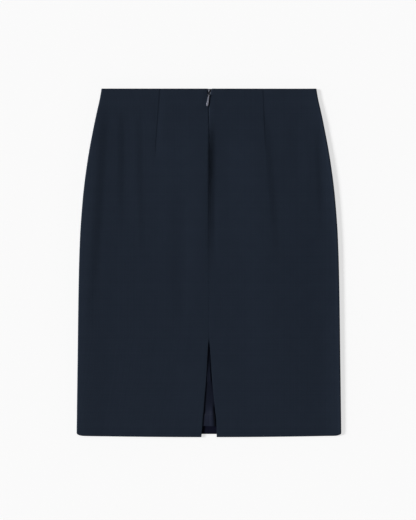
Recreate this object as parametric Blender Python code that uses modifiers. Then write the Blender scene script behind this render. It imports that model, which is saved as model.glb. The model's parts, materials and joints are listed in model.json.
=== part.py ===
"""A knee-length pencil skirt, closed by an invisible zip, laid flat on its front.

The back of the skirt faces up. The waist lies at +Y, the hem at -Y, and the skirt rests on
z = 0. The front is one panel, the back is two panels that meet at a centre-back seam, open
below in a walking slit. Lengths are millimetres unless a name says otherwise; "depth" is the
distance down the skirt from its waist edge.
"""

import math
from collections import namedtuple

import bpy

MM = 0.001

# ---------------------------------------------------------------- driving dimensions

SKIRT_LENGTH = 600.0
CLOTH = 1.1
SEAM_GAP = 0.3
HALF_GAP = SEAM_GAP / 2

# Half of the width of the skirt as it lies, at depths below the waist.
Station = namedtuple("Station", "depth value")
HALF_WIDTH = (
    Station(0, 185.0),
    Station(18, 188.1),
    Station(38, 192.6),
    Station(60, 197.3),
    Station(125, 209.2),
    Station(190, 217.3),
    Station(260, 222.2),
    Station(330, 224.3),
    Station(465, 226.2),
    Station(600, 228.0),
)

# Height of the outside of the back above the surface it lies on, without its folds.
LOFT = (
    Station(0, 4.3),
    Station(60, 4.4),
    Station(150, 4.5),
    Station(300, 4.5),
    Station(430, 4.3),
    Station(600, 4.1),
)

# Soft folds of the back: ridges have a positive height and hollows a negative one. A fold
# runs from top_depth to low_depth. Its crest starts at top_offset and ends at low_offset,
# measured to the right from the centre, or inwards from one side of the skirt. It slopes
# away over left_reach and right_reach, and rises and dies over fade_in and fade_out.
Fold = namedtuple(
    "Fold",
    "name anchor top_offset top_depth low_offset low_depth"
    " left_reach right_reach height fade_in fade_out",
)
FOLDS = (
    Fold("left edge roll", "centre", -187, 8, -218, 480, 30, 20, 1.3, 80, 260),
    Fold("left low roll", "left", 16, 260, 16, 700, 26, 44, 0.7, 160, 100),
    Fold("left outer hollow", "centre", -145, 40, -145, 270, 10, 30, -0.4, 60, 120),
    Fold("left inner hollow", "centre", -116, 40, -110, 330, 10, 34, -0.4, 60, 190),
    Fold("left dart hollow", "centre", -90, 10, -93, 150, 8, 26, -0.2, 30, 60),
    Fold("left low hollow", "centre", -48, 150, -48, 460, 22, 24, -0.4, 80, 140),
    Fold("centre ridge", "centre", -4, 40, -4, 340, 90, 10, 1.1, 60, 250),
    Fold("low centre ridge", "centre", -11, 130, -11, 420, 32, 16, 0.7, 70, 150),
    Fold("centre hollow", "centre", 11, 44, 8, 340, 14, 75, -0.55, 70, 250),
    Fold("right rise", "centre", 88, 20, 130, 640, 72, 60, 1.6, 120, 240),
    Fold("right dart hollow", "centre", 103, 24, 122, 290, 10, 26, -0.5, 50, 130),
    Fold("right inner hollow", "centre", 148, 40, 150, 290, 40, 30, -0.9, 60, 100),
    Fold("right outer hollow", "centre", 190.5, 50, 201, 260, 13, 20, -0.6, 50, 90),
    Fold("right low hollow", "right", 44, 200, 44, 660, 60, 44, -0.6, 150, 160),
    Fold("right edge rise", "right", -10, -80, -10, 700, 42, 10, 1.5, 140, 160),
    Fold("right edge lip", "right", -3, 0, -3, 640, 13, 10, 0.6, 80, 60),
)

# The sides roll over from the back to the front within this reach. The side seam lies at
# this share of the height there, and the last share of each roll goes straight up or down.
SIDE_ROLL = 3.2
SIDE_SEAM_SHARE = 0.48
STRAIGHT_SHARE = 0.2

# The hem: higher at the sides than at the centre, with rounded corners. The front is a
# little shorter than the back, and both meet at the side seams.
HEM_RISE_AT_SIDE = 2.3
CORNER_REACH = 13.0
CORNER_RISE = 5.0
FRONT_HEM = 594.9
FRONT_HEM_JOIN = 40.0
BACK_HEM_DROOP = 0.6
DROOP_REACH = 14.0

# The walking slit at the foot of the centre-back seam.
SLIT_TOP = 429.4
SLIT_HALF_AT_HEM = 13.1
SLIT_HALF = (
    Station(SLIT_TOP, HALF_GAP),
    Station(448, 1.9),
    Station(468, 3.1),
    Station(489, 4.2),
    Station(510, 5.9),
    Station(530, 7.9),
    Station(551, 10.1),
    Station(572, 12.1),
    Station(600, SLIT_HALF_AT_HEM),
)

# The centre-back seam wanders a little: its place to the right of the centre line.
SEAM_LINE = (
    Station(0, 1.6),
    Station(12, -0.05),
    Station(45, -0.2),
    Station(72, 0.9),
    Station(150, 0.9),
    Station(205, 0.4),
    Station(260, 0.1),
    Station(430, 0.0),
    Station(520, 0.5),
    Station(580, 0.5),
    Station(600, 0.1),
)

# The centre-back edges part above the zip slider, half of the opening each.
NOTCH_HALF = (
    Station(0, 2.4),
    Station(8, 1.75),
    Station(15, 1.05),
    Station(23, HALF_GAP),
)

# The front lining, which shows only in the slit.
LINING_HALF_WIDTH = 55.0
LINING_TOP = 392.0
LINING_HEM = 581.0
LINING_WALL = 1.0
LINING_PUFF = 0.5

# The zip: two tapes under the back panels, and a slider with its pull.
TAPE_WIDTH = 12.5
TAPE_TOP = 3.0
TAPE_LENGTH = 195.0
TAPE_WALL = 1.0
TAPE_INNER_EDGE = (
    Station(3, 4.1),
    Station(10, 3.8),
    Station(17, 2.9),
    Station(22, HALF_GAP),
    Station(200, HALF_GAP),
)

SLIDER_DEPTH = 11.4
PLATE_WIDTH = 5.2
PLATE_LENGTH = 9.0
PLATE_WALL = 1.2
BRIDGE_WIDTH = 1.0
BRIDGE_LENGTH = 3.8
BRIDGE_WALL = 0.8
BRIDGE_CLEARANCE = 0.85

PULL_LENGTH = 18.0
PULL_WALL = 1.0
PULL_TILT = math.radians(10)
PULL_BAR = 0.45
PULL_EYE_END = 2.9

# Right-hand outlines of the pull and of its eye, from top to tip, as the pull hangs down.
Corner = namedtuple("Corner", "x y")
PULL_SIDE = (
    Corner(1.2, 0.1),
    Corner(1.25, -2.6),
    Corner(0.95, -4.6),
    Corner(1.4, -9.0),
    Corner(1.8, -13.0),
    Corner(1.35, -16.7),
)
EYE_SIDE = (Corner(0.75, -0.7), Corner(0.75, -2.55))

# ---------------------------------------------------------------- mesh density

SIDE_ROLL_STEPS = 5
BACK_COLUMNS = 34
FRONT_COLUMNS = 16
LINING_COLUMNS = 16
TAPE_COLUMNS = 4
COLUMN_CROWDING = 0.25
LINING_CROWDING = 1.8

Rows = namedtuple("Rows", "to_share count")
BACK_ROWS = (Rows(0.04, 4), Rows(0.716, 16), Rows(0.972, 7), Rows(1.0, 2))
FRONT_ROWS = (Rows(0.4, 8), Rows(1.0, 8))
LINING_ROWS = (Rows(1.0, 9),)
TAPE_ROWS = (Rows(0.1, 4), Rows(1.0, 9))

BEVEL_SEGMENTS = 2
PLATE_BEVEL = 0.35
BRIDGE_BEVEL = 0.2
CURVE_STEPS = 5


# ---------------------------------------------------------------- shape of the skirt


def ease(share):
    """0 to 1 with a soft start and a soft end."""
    share = min(max(share, 0.0), 1.0)
    return share * share * (3 - 2 * share)


def read_stations(stations, depth):
    """A smooth curve through the stations that never overshoots them."""
    last = len(stations) - 1
    slopes = [
        (low.value - top.value) / (low.depth - top.depth)
        for top, low in zip(stations, stations[1:])
    ]
    tangents = [slopes[0]]
    for above, below in zip(slopes, slopes[1:]):
        product = above * below
        tangents.append(2 * product / (above + below) if product > 0 else 0.0)
    tangents.append(slopes[-1])
    span = 0
    while span < last - 1 and depth > stations[span + 1].depth:
        span += 1
    top, low = stations[span], stations[span + 1]
    reach = low.depth - top.depth
    t = min(max((depth - top.depth) / reach, 0.0), 1.0)
    return (
        top.value * (1 + 2 * t) * (1 - t) ** 2
        + low.value * t * t * (3 - 2 * t)
        + reach * t * (1 - t) * (tangents[span] * (1 - t) - tangents[span + 1] * t)
    )


def half_width(depth):
    return read_stations(HALF_WIDTH, depth)


def fold_height(fold, x, depth):
    """What one fold adds to the height of the back at a place."""
    if not fold.top_depth < depth < fold.low_depth:
        return 0.0
    along = (depth - fold.top_depth) / (fold.low_depth - fold.top_depth)
    offset = fold.top_offset + (fold.low_offset - fold.top_offset) * along
    crest = {
        "centre": offset,
        "left": offset - half_width(depth),
        "right": half_width(depth) - offset,
    }[fold.anchor]
    reach = fold.left_reach if x < crest else fold.right_reach
    away = abs(x - crest) / reach
    if away >= 1:
        return 0.0
    strength = ease((depth - fold.top_depth) / fold.fade_in)
    strength *= ease((fold.low_depth - depth) / fold.fade_out)
    return fold.height * strength * math.cos(math.pi / 2 * away) ** 2


def back_height(x, depth):
    """Height of the outside of the back over the surface that the skirt lies on."""
    height = read_stations(LOFT, depth)
    height += sum(fold_height(fold, x, depth) for fold in FOLDS)
    droop = ease((depth - (SKIRT_LENGTH - DROOP_REACH)) / DROOP_REACH)
    return height - BACK_HEM_DROOP * droop


def seam_height(side, depth):
    """Height of the side seam. side is 1 for the right and -1 for the left."""
    inner = half_width(depth) - SIDE_ROLL
    return SIDE_SEAM_SHARE * back_height(side * inner, depth)


def side_roll(step):
    """How far out and how far down or up a point of the side's roll lies, as shares."""
    arc_steps = SIDE_ROLL_STEPS - 1
    turn = min(step / arc_steps, 1.0) * math.pi / 2
    straight = max(step - arc_steps, 0.0)
    fall = (1 - STRAIGHT_SHARE) * (1 - math.cos(turn)) + STRAIGHT_SHARE * straight
    return math.sin(turn), fall


def back_hem(distance):
    """Depth of the back hem at a distance from the centre line."""
    widest = half_width(SKIRT_LENGTH)
    rise = HEM_RISE_AT_SIDE * (distance / widest) ** 2
    into_corner = max(distance - (widest - CORNER_REACH), 0.0) / CORNER_REACH
    rise += CORNER_RISE * (1 - math.sqrt(1 - min(into_corner, 1.0) ** 2))
    return SKIRT_LENGTH - rise


def front_hem(distance):
    """Depth of the front hem, which meets the back hem at the side seams."""
    widest = half_width(SKIRT_LENGTH)
    join = ease(1 - (widest - distance) / FRONT_HEM_JOIN)
    return FRONT_HEM + (back_hem(widest) - FRONT_HEM) * join


def seam_line(depth):
    return read_stations(SEAM_LINE, depth)


def centre_edge(depth):
    """Distance from the seam line to the edge of a back panel."""
    if depth < SLIT_TOP:
        return read_stations(NOTCH_HALF, depth)
    return read_stations(SLIT_HALF, depth)


def to_world(x, depth, z):
    return (x * MM, (SKIRT_LENGTH / 2 - depth) * MM, z * MM)


def back_point(side, across, down):
    """A point of a back panel: across runs from the centre edge to the side seam."""
    step = across * (BACK_COLUMNS + SIDE_ROLL_STEPS)
    out, fall = side_roll(max(step - BACK_COLUMNS, 0.0))
    flat = min(step / BACK_COLUMNS, 1.0)
    flat = flat * (1 - COLUMN_CROWDING) + flat * flat * COLUMN_CROWDING
    hem_reach = half_width(SKIRT_LENGTH) - SIDE_ROLL - SLIT_HALF_AT_HEM
    depth = down * back_hem(SLIT_HALF_AT_HEM + flat * hem_reach + SIDE_ROLL * out)
    edge = half_width(depth) - SIDE_ROLL
    inner = seam_line(depth) + side * centre_edge(depth)
    flat_x = inner + flat * (side * edge - inner)
    height = back_height(flat_x, depth)
    seam = seam_height(side, depth) + HALF_GAP
    return flat_x + side * SIDE_ROLL * out, depth, height - (height - seam) * fall


def front_point(across, down):
    """A point of the front panel: across runs from its left side seam to its right one."""
    columns = FRONT_COLUMNS + 2 * SIDE_ROLL_STEPS
    step = across * columns
    side = 1 if step > columns / 2 else -1
    from_seam = min(step, columns - step)
    out, fall = side_roll(max(SIDE_ROLL_STEPS - from_seam, 0.0))
    flat = 1 - max(from_seam - SIDE_ROLL_STEPS, 0.0) / (FRONT_COLUMNS / 2)
    hem_edge = half_width(SKIRT_LENGTH) - SIDE_ROLL
    depth = down * front_hem(hem_edge * flat + SIDE_ROLL * out)
    distance = (half_width(depth) - SIDE_ROLL) * flat + SIDE_ROLL * out
    return distance * side, depth, (seam_height(side, depth) - HALF_GAP) * fall


def lining_point(across, down):
    """A point of the upper face of the lining, just under the back panels."""
    from_centre = 2 * across - 1
    x = math.copysign(abs(from_centre) ** LINING_CROWDING, from_centre) * LINING_HALF_WIDTH
    depth = LINING_TOP + (LINING_HEM - LINING_TOP) * down
    height = back_height(x, depth) - CLOTH - SEAM_GAP
    opening = centre_edge(depth)
    if abs(x) < opening:
        puff = LINING_PUFF * opening / SLIT_HALF_AT_HEM
        height += puff * math.cos(math.pi / 2 * x / opening) ** 2
    return x, depth, height


def tape_point(side, across, down):
    """A point of the upper face of a zip tape: a back panel's points, moved inwards."""
    depth = TAPE_TOP + TAPE_LENGTH * down
    inner = read_stations(TAPE_INNER_EDGE, depth)
    x = seam_line(depth) + side * (inner + (TAPE_WIDTH - inner) * across)
    return x, depth, back_height(x, depth) - CLOTH - SEAM_GAP


def row_shares(rows):
    """Shares of the way down a piece at which its rows of points lie."""
    shares = [0.0]
    for group in rows:
        start = shares[-1]
        for index in range(1, group.count + 1):
            shares.append(start + (group.to_share - start) * index / group.count)
    return shares


# ---------------------------------------------------------------- Blender helpers


def clear_scene():
    for thing in list(bpy.data.objects):
        bpy.data.objects.remove(thing, do_unlink=True)


def make_collection(name):
    collection = bpy.data.collections.new(name)
    bpy.context.scene.collection.children.link(collection)
    return collection


def move_to(thing, collection):
    for owner in list(thing.users_collection):
        owner.objects.unlink(thing)
    collection.objects.link(thing)


def make_material(name, colour, roughness, metallic=0.0):
    material = bpy.data.materials.new(name)
    material.use_nodes = True
    shader = material.node_tree.nodes["Principled BSDF"]
    shader.inputs["Base Color"].default_value = (*colour, 1.0)
    shader.inputs["Roughness"].default_value = roughness
    shader.inputs["Metallic"].default_value = metallic
    return material


def cloth_piece(name, point, columns, rows, wall, material, collection, mirrored=False):
    """Lay a grid over a piece of the skirt, then give it its wall.

    point(across, down) gives the outer or upper face. A grid laid from right to left is
    mirrored, so that its normals still point out of the cloth.
    """
    shares = row_shares(rows)
    row_count = len(shares) - 1
    bpy.ops.mesh.primitive_grid_add(x_subdivisions=columns, y_subdivisions=row_count, size=1)
    piece = bpy.context.object
    piece.name = piece.data.name = name
    for vertex in piece.data.vertices:
        across = round((vertex.co.x + 0.5) * columns) / columns
        row = round((0.5 - vertex.co.y) * row_count)
        if mirrored:
            across = 1 - across
        vertex.co = to_world(*point(across, shares[row]))
    solidify = piece.modifiers.new("Wall", "SOLIDIFY")
    solidify.thickness = wall * MM
    solidify.offset = -1
    solidify.use_even_offset = True
    piece.data.materials.append(material)
    piece.data.shade_smooth()
    move_to(piece, collection)
    return piece


def rounded_box(name, size, centre, bevel):
    """A box of a size in millimetres about a centre, with its edges rounded."""
    bpy.ops.mesh.primitive_cube_add(size=1, location=[value * MM for value in centre])
    box = bpy.context.object
    box.name = name
    box.scale = [value * MM for value in size]
    bpy.ops.object.transform_apply(location=False, rotation=False, scale=True)
    if bevel:
        rounding = box.modifiers.new("Rounding", "BEVEL")
        rounding.width = bevel * MM
        rounding.segments = BEVEL_SEGMENTS
    return box


def boolean(target, cutter, operation):
    step = target.modifiers.new(operation.title(), "BOOLEAN")
    step.operation = operation
    step.object = cutter
    cutter.hide_render = True
    cutter.display_type = "WIRE"


# ---------------------------------------------------------------- pieces of the skirt


def add_front(collection, cloth):
    columns = FRONT_COLUMNS + 2 * SIDE_ROLL_STEPS
    return cloth_piece(
        "front_panel", front_point, columns, FRONT_ROWS, CLOTH, cloth, collection, mirrored=True
    )


def add_backs(collection, cloth):
    columns = BACK_COLUMNS + SIDE_ROLL_STEPS
    for name, side in (("back_left", -1), ("back_right", 1)):
        cloth_piece(
            name,
            lambda across, down, side=side: back_point(side, across, down),
            columns,
            BACK_ROWS,
            CLOTH,
            cloth,
            collection,
            mirrored=side < 0,
        )


def add_lining(collection, satin):
    return cloth_piece(
        "front_lining", lining_point, LINING_COLUMNS, LINING_ROWS, LINING_WALL, satin, collection
    )


def add_tapes(collection, tape_cloth):
    for name, side in (("zip_tape_left", -1), ("zip_tape_right", 1)):
        cloth_piece(
            name,
            lambda across, down, side=side: tape_point(side, across, down),
            TAPE_COLUMNS,
            TAPE_ROWS,
            TAPE_WALL,
            tape_cloth,
            collection,
            mirrored=side < 0,
        )


def pull_axis_height():
    """Height of the pull's bar, at which the pull just clears the cloth under it."""
    under_pull = []
    for step in range(7):
        reach = PULL_LENGTH * step / 6
        x = seam_line(SLIDER_DEPTH) - reach * math.sin(PULL_TILT)
        depth = SLIDER_DEPTH + reach * math.cos(PULL_TILT)
        under_pull.append(back_height(x, depth))
    return max(under_pull) + SEAM_GAP + PULL_WALL / 2


def add_slider(collection, cutters, metal):
    """Plate under the zip, a neck up between the panels, and the bridge that holds the pull."""
    x = seam_line(SLIDER_DEPTH)
    y = SKIRT_LENGTH / 2 - SLIDER_DEPTH
    axis = pull_axis_height()
    plate_low = CLOTH + SEAM_GAP
    plate_mid = plate_low + PLATE_WALL / 2
    bridge_top = axis + BRIDGE_CLEARANCE + BRIDGE_WALL
    plate = rounded_box(
        "zip_slider",
        (PLATE_WIDTH, PLATE_LENGTH, PLATE_WALL),
        (x, y, plate_mid),
        PLATE_BEVEL,
    )
    bridge = rounded_box(
        "slider_bridge_stock",
        (BRIDGE_WIDTH, BRIDGE_LENGTH, bridge_top - plate_mid),
        (x, y, (plate_mid + bridge_top) / 2),
        BRIDGE_BEVEL,
    )
    opening = rounded_box(
        "slider_bridge_opening",
        (3 * BRIDGE_WIDTH, BRIDGE_LENGTH - 2 * BRIDGE_WALL, 2 * BRIDGE_CLEARANCE),
        (x, y, axis),
        0,
    )
    boolean(plate, bridge, "UNION")
    boolean(plate, opening, "DIFFERENCE")
    plate.data.materials.append(metal)
    move_to(plate, collection)
    move_to(bridge, cutters)
    move_to(opening, cutters)
    return plate


def add_outline(curve, points):
    """A closed smooth outline through (x, y) points in millimetres."""
    spline = curve.splines.new("BEZIER")
    spline.bezier_points.add(len(points) - 1)
    for corner, (x, y) in zip(spline.bezier_points, points):
        corner.co = (x * MM, y * MM, 0)
        corner.handle_left_type = corner.handle_right_type = "AUTO"
    spline.use_cyclic_u = True


def mirrored_outline(top, side, tip):
    """The corners of an outline that is the same on its left and on its right."""
    return [top, *side, tip, *((-corner.x, corner.y) for corner in reversed(side))]


def add_pull(collection, metal):
    """A flat teardrop with an eye, hung by its top bar from the slider's bridge."""
    curve = bpy.data.curves.new("zip_pull", "CURVE")
    curve.dimensions = "2D"
    curve.fill_mode = "BOTH"
    curve.extrude = PULL_WALL / 2 * MM
    curve.resolution_u = CURVE_STEPS
    add_outline(curve, mirrored_outline((0, PULL_BAR), PULL_SIDE, (0, -PULL_LENGTH)))
    add_outline(curve, mirrored_outline((0, -PULL_BAR), EYE_SIDE, (0, -PULL_EYE_END)))
    pull = bpy.data.objects.new("zip_pull", curve)
    pull.location = to_world(seam_line(SLIDER_DEPTH), SLIDER_DEPTH, pull_axis_height())
    pull.rotation_euler.z = -PULL_TILT
    curve.materials.append(metal)
    collection.objects.link(pull)
    return pull


def main():
    clear_scene()
    skirt = make_collection("pencil_skirt")
    cutters = make_collection("cutters")
    cloth = make_material("navy_suiting", (0.013, 0.018, 0.028), 0.85)
    satin = make_material("navy_lining", (0.010, 0.014, 0.024), 0.45)
    tape_cloth = make_material("navy_zip_tape", (0.012, 0.016, 0.026), 0.8)
    metal = make_material("grey_enamelled_zinc", (0.14, 0.145, 0.17), 0.4, 0.3)
    add_front(skirt, cloth)
    add_backs(skirt, cloth)
    add_lining(skirt, satin)
    add_tapes(skirt, tape_cloth)
    add_slider(skirt, cutters, metal)
    add_pull(skirt, metal)


main()
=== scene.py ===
# %% [markdown]
# # A navy pencil skirt, laid flat on its front
#
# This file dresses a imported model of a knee-length pencil skirt: one front, two backs that
# meet in a centre-back seam with an invisible zip, and a walking slit at the hem. The packed
# model fixes every size and place. The cells below add cloth, lining, zip and light, one
# piece at a time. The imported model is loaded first, because everything else sits on it.

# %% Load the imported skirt
import json
import math
from collections import namedtuple

import bmesh
import bpy
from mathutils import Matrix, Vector, noise


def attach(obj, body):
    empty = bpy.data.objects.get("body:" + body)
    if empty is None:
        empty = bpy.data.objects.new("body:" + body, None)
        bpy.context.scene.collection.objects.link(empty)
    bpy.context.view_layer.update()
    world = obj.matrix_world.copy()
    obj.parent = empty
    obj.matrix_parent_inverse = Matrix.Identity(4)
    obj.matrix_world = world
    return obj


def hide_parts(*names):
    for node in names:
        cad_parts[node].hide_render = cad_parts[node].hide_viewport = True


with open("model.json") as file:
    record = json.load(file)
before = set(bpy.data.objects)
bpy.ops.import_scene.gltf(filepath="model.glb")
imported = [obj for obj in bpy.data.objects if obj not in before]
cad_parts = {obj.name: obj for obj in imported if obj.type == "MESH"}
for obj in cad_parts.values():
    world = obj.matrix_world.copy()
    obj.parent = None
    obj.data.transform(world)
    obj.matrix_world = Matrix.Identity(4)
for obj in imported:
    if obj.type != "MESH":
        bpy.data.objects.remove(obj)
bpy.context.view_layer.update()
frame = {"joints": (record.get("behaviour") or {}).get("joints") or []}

# %% [markdown]
# ## Widths at a few depths
#
# A pattern maker writes a skirt down as widths at a few depths below the waist, and this
# file does the same. Lengths are millimetres, and "depth" is the distance down from the
# waist edge. A smooth curve runs through each short table, so that no outline has a corner.
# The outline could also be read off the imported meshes, but then its meaning would be lost.

# %% The outline of the skirt
MM = 0.001
SKIRT_LENGTH = 600.0

Station = namedtuple("Station", "at value")


def stations(*rows):
    """A table of values at depths, or at other places along a line."""
    return tuple(Station(*row) for row in rows)


HALF_WIDTH = stations(
    (0, 185.0), (18, 188.1), (38, 192.6), (60, 197.3), (125, 209.2),
    (190, 217.3), (260, 222.2), (330, 224.3), (465, 226.2), (600, 228.0),
)
HEM_RISE_AT_SIDE = 2.3
CORNER_REACH = 13.0
CORNER_RISE = 5.0
FRONT_HEM = 594.9
FRONT_HEM_JOIN = 40.0


def ease(share):
    """0 to 1 with a soft start and a soft end."""
    share = min(max(share, 0.0), 1.0)
    return share * share * (3 - 2 * share)


def read_stations(table, at):
    """A smooth curve through the stations of a table that never overshoots them."""
    pairs = list(zip(table, table[1:]))
    slopes = [(low.value - top.value) / (low.at - top.at) for top, low in pairs]
    tangents = [slopes[0]]
    for above, below in zip(slopes, slopes[1:]):
        product = above * below
        tangents.append(2 * product / (above + below) if product > 0 else 0.0)
    tangents.append(slopes[-1])
    span = 0
    while span < len(pairs) - 1 and at > pairs[span][1].at:
        span += 1
    top, low = pairs[span]
    reach = low.at - top.at
    t = min(max((at - top.at) / reach, 0.0), 1.0)
    return (
        top.value * (1 + 2 * t) * (1 - t) ** 2
        + low.value * t * t * (3 - 2 * t)
        + reach * t * (1 - t) * (tangents[span] * (1 - t) - tangents[span + 1] * t)
    )


def half_width(depth):
    return read_stations(HALF_WIDTH, depth)


def back_hem(distance):
    """Depth of the back hem at a distance from the centre line: rounded at the corners."""
    widest = half_width(SKIRT_LENGTH)
    rise = HEM_RISE_AT_SIDE * (distance / widest) ** 2
    into_corner = max(distance - (widest - CORNER_REACH), 0.0) / CORNER_REACH
    rise += CORNER_RISE * (1 - math.sqrt(1 - min(into_corner, 1.0) ** 2))
    return SKIRT_LENGTH - rise


def front_hem(distance):
    """Depth of the front hem, which is shorter but meets the back hem at the side seams."""
    widest = half_width(SKIRT_LENGTH)
    join = ease(1 - (widest - distance) / FRONT_HEM_JOIN)
    return FRONT_HEM + (back_hem(widest) - FRONT_HEM) * join


def to_world(x, depth, height):
    """A point in metres from millimetres: across, down the skirt, and above the table."""
    return Vector((x * MM, (SKIRT_LENGTH / 2 - depth) * MM, height * MM))


for depth in (0, 200, SKIRT_LENGTH):
    print(f"{depth:4.0f} mm down, the skirt is {2 * half_width(depth):.0f} mm across")

# %% [markdown]
# ## The centre-back seam
#
# The two backs meet here. At the waist they part a little for the zip slider, and at the
# foot they part into the slit. The seam isn't ruled straight: it wanders by a millimetre,
# as it does on a skirt that was laid down by hand.

# %% The seam, the zip notch and the slit
SLIT_TOP = 429.4
SEAM_HALF_GAP = 0.06
SEAM_LINE = stations(
    (0, 1.7), (12, -0.05), (45, -0.2), (72, 0.9), (150, 0.9),
    (205, 0.4), (260, 0.1), (430, 0.0), (520, 0.5), (575, 0.9),
    (600, 0.1),
)
NOTCH_HALF = stations(
    (0, 3.3), (5, 2.8), (10, 2.0), (14.5, 1.0), (19, SEAM_HALF_GAP),
)
SLIT_HALF = stations(
    (SLIT_TOP, SEAM_HALF_GAP), (448, 1.9), (468, 3.1), (489, 4.2), (510, 5.9),
    (530, 7.9), (551, 9.8), (572, 11.8), (600, 13.1),
)


def seam_line(depth):
    return read_stations(SEAM_LINE, depth)


def centre_edge(depth):
    """Distance from the seam line to the folded edge of a back panel."""
    if depth < SLIT_TOP:
        return read_stations(NOTCH_HALF, depth)
    return read_stations(SLIT_HALF, depth)


print(f"the slit is {SKIRT_LENGTH - SLIT_TOP:.0f} mm long and opens {2 * centre_edge(600):.0f} mm")

# %% [markdown]
# ## How the cloth lies
#
# Cloth that is laid down by hand keeps soft rolls and hollows. Each one is a row of a table:
# where its crest starts and ends, how far it slopes away to the left and to the right, and
# how high it is. A cloth simulation could make such folds, but not these ones in these
# places, and a table can be read and changed like a pattern.

# %% Rolls and hollows of the back
LOFT = stations(
    (0, 4.3), (60, 4.4), (150, 4.5), (300, 4.2), (430, 4.0),
    (600, 3.6),
)
BACK_HEM_DROOP = 0.6
DROOP_REACH = 14.0

Fold = namedtuple(
    "Fold",
    "name anchor top_offset top_depth low_offset low_depth"
    " left_reach right_reach height fade_in fade_out",
)
FOLDS = (
    Fold("left edge roll", "centre", -187, 8, -218, 480, 30, 20, 1.5, 80, 260),
    Fold("left low roll", "left", 16, 260, 16, 700, 26, 44, 0.7, 160, 100),
    Fold("left outer hollow", "centre", -144, 20, -144, 270, 14, 38, -0.85, 60, 120),
    Fold("left inner hollow", "centre", -115, 20, -108, 330, 14, 44, -0.9, 60, 190),
    Fold("left dart hollow", "centre", -90, 10, -93, 150, 8, 26, -0.2, 30, 60),
    Fold("left low hollow", "centre", -48, 150, -48, 460, 22, 24, -0.4, 80, 140),
    Fold("zip hollow", "centre", -1, -14, -3, 48, 10, 10, -0.35, 14, 16),
    Fold("centre ridge", "centre", -4, 40, -4, 330, 90, 9, 1.6, 85, 240),
    Fold("zip ridge", "centre", -2, 50, -2, 195, 80, 13, 0.9, 30, 55),
    Fold("low centre ridge", "centre", -10, 130, -10, 400, 32, 18, 0.6, 70, 150),
    Fold("centre hollow", "centre", 13, 44, 9, 330, 13, 75, -1.55, 70, 240),
    Fold("centre crease", "centre", 9.5, 160, 9.5, 320, 5, 9, -0.3, 40, 80),
    Fold("slit ridge", "centre", -4, 440, -10, 590, 55, 12, 0.8, 50, 50),
    Fold("right rise", "centre", 90, 20, 126, 640, 70, 135, 1.7, 120, 240),
    Fold("right dart hollow", "centre", 104, 24, 125, 320, 14, 34, -0.85, 50, 130),
    Fold("right inner hollow", "centre", 146, 40, 148, 250, 40, 30, -0.7, 60, 110),
    Fold("right outer hollow", "centre", 190.5, 50, 201, 260, 13, 20, -0.75, 50, 90),
    Fold("right low hollow", "right", 30, 350, 30, 660, 45, 30, -0.4, 100, 160),
    Fold("right sink", "right", 20, -200, 20, 800, 170, 80, -1.1, 190, 190),
    Fold("right edge rise", "right", -10, -80, -10, 700, 42, 10, 1.05, 140, 160),
    Fold("right edge lip", "right", -2, 0, -2, 660, 9, 10, 1.0, 80, 60),
)


def fold_height(fold, x, depth):
    """What one fold adds to the height of the back at a place."""
    if not fold.top_depth < depth < fold.low_depth:
        return 0.0
    along = (depth - fold.top_depth) / (fold.low_depth - fold.top_depth)
    offset = fold.top_offset + (fold.low_offset - fold.top_offset) * along
    crest = {
        "centre": offset,
        "left": offset - half_width(depth),
        "right": half_width(depth) - offset,
    }[fold.anchor]
    reach = fold.left_reach if x < crest else fold.right_reach
    away = abs(x - crest) / reach
    if away >= 1:
        return 0.0
    strength = ease((depth - fold.top_depth) / fold.fade_in)
    strength *= ease((fold.low_depth - depth) / fold.fade_out)
    return fold.height * strength * math.cos(math.pi / 2 * away) ** 2


print(len(FOLDS), "folds, the highest", max(fold.height for fold in FOLDS), "mm")

# %% [markdown]
# ## Marks of sewing in the cloth
#
# Sewing shows from outside even where no stitch does. A dart is a fine groove that runs out
# at its point. The stiff zip tape puckers the softer cloth that is sewn to it. The edges of
# the waist facing and of the turned-up hem press through as a faint step. Real geometry
# keeps these marks in every light, where a bump map would only imitate them.

# %% Darts, puckers and pressed edges
Dart = namedtuple("Dart", "top_x low_x length")
BACK_DARTS = {-1: Dart(-83.8, -92.6, 116.0), 1: Dart(93.5, 98.0, 100.0)}
DART_GROOVE = 0.34
DART_STEEP_SIDE = 1.0
DART_GENTLE_SIDE = 7.0
DART_RUN_OUT = 1.1
DART_FADE = 0.3
DART_LINE_END = 1.2
PUCKER = 0.14
PUCKER_LENGTH = 13.0
PUCKER_MIDDLE = 3.0
PUCKER_REACH = 9.0
PUCKER_LAG = 1.3
PUCKER_START = 18.0
PUCKER_FADE_IN = 12.0
PUCKER_FADE_OUT = 60.0
ZIP_LENGTH = 195.0
FACING = 34.0
HEM_ALLOWANCE = 36.0
PRESSED_STEP = 0.12
PRESSED_REACH = 3.0
WAVE = 0.1
WAVE_LENGTH = 34.0
WAVE_STRETCH = 2.2
WAVE_SLICE = 0.37
EDGE_FALL = 0.35
EDGE_REACH = 2.4


def dart_line(dart, depth):
    """Where a dart's sewn line lies, and below its point where it would run on."""
    return dart.top_x + (dart.low_x - dart.top_x) * min(depth / dart.length, DART_LINE_END)


def dart_groove(dart, x, depth):
    """Depth of the groove, which is steep on its left where the allowance is pressed away."""
    fade = ease((DART_RUN_OUT - depth / dart.length) / DART_FADE)
    away = x - dart_line(dart, depth)
    away /= DART_GENTLE_SIDE if away > 0 else DART_STEEP_SIDE
    return DART_GROOVE * fade * math.exp(-away * away)


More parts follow.
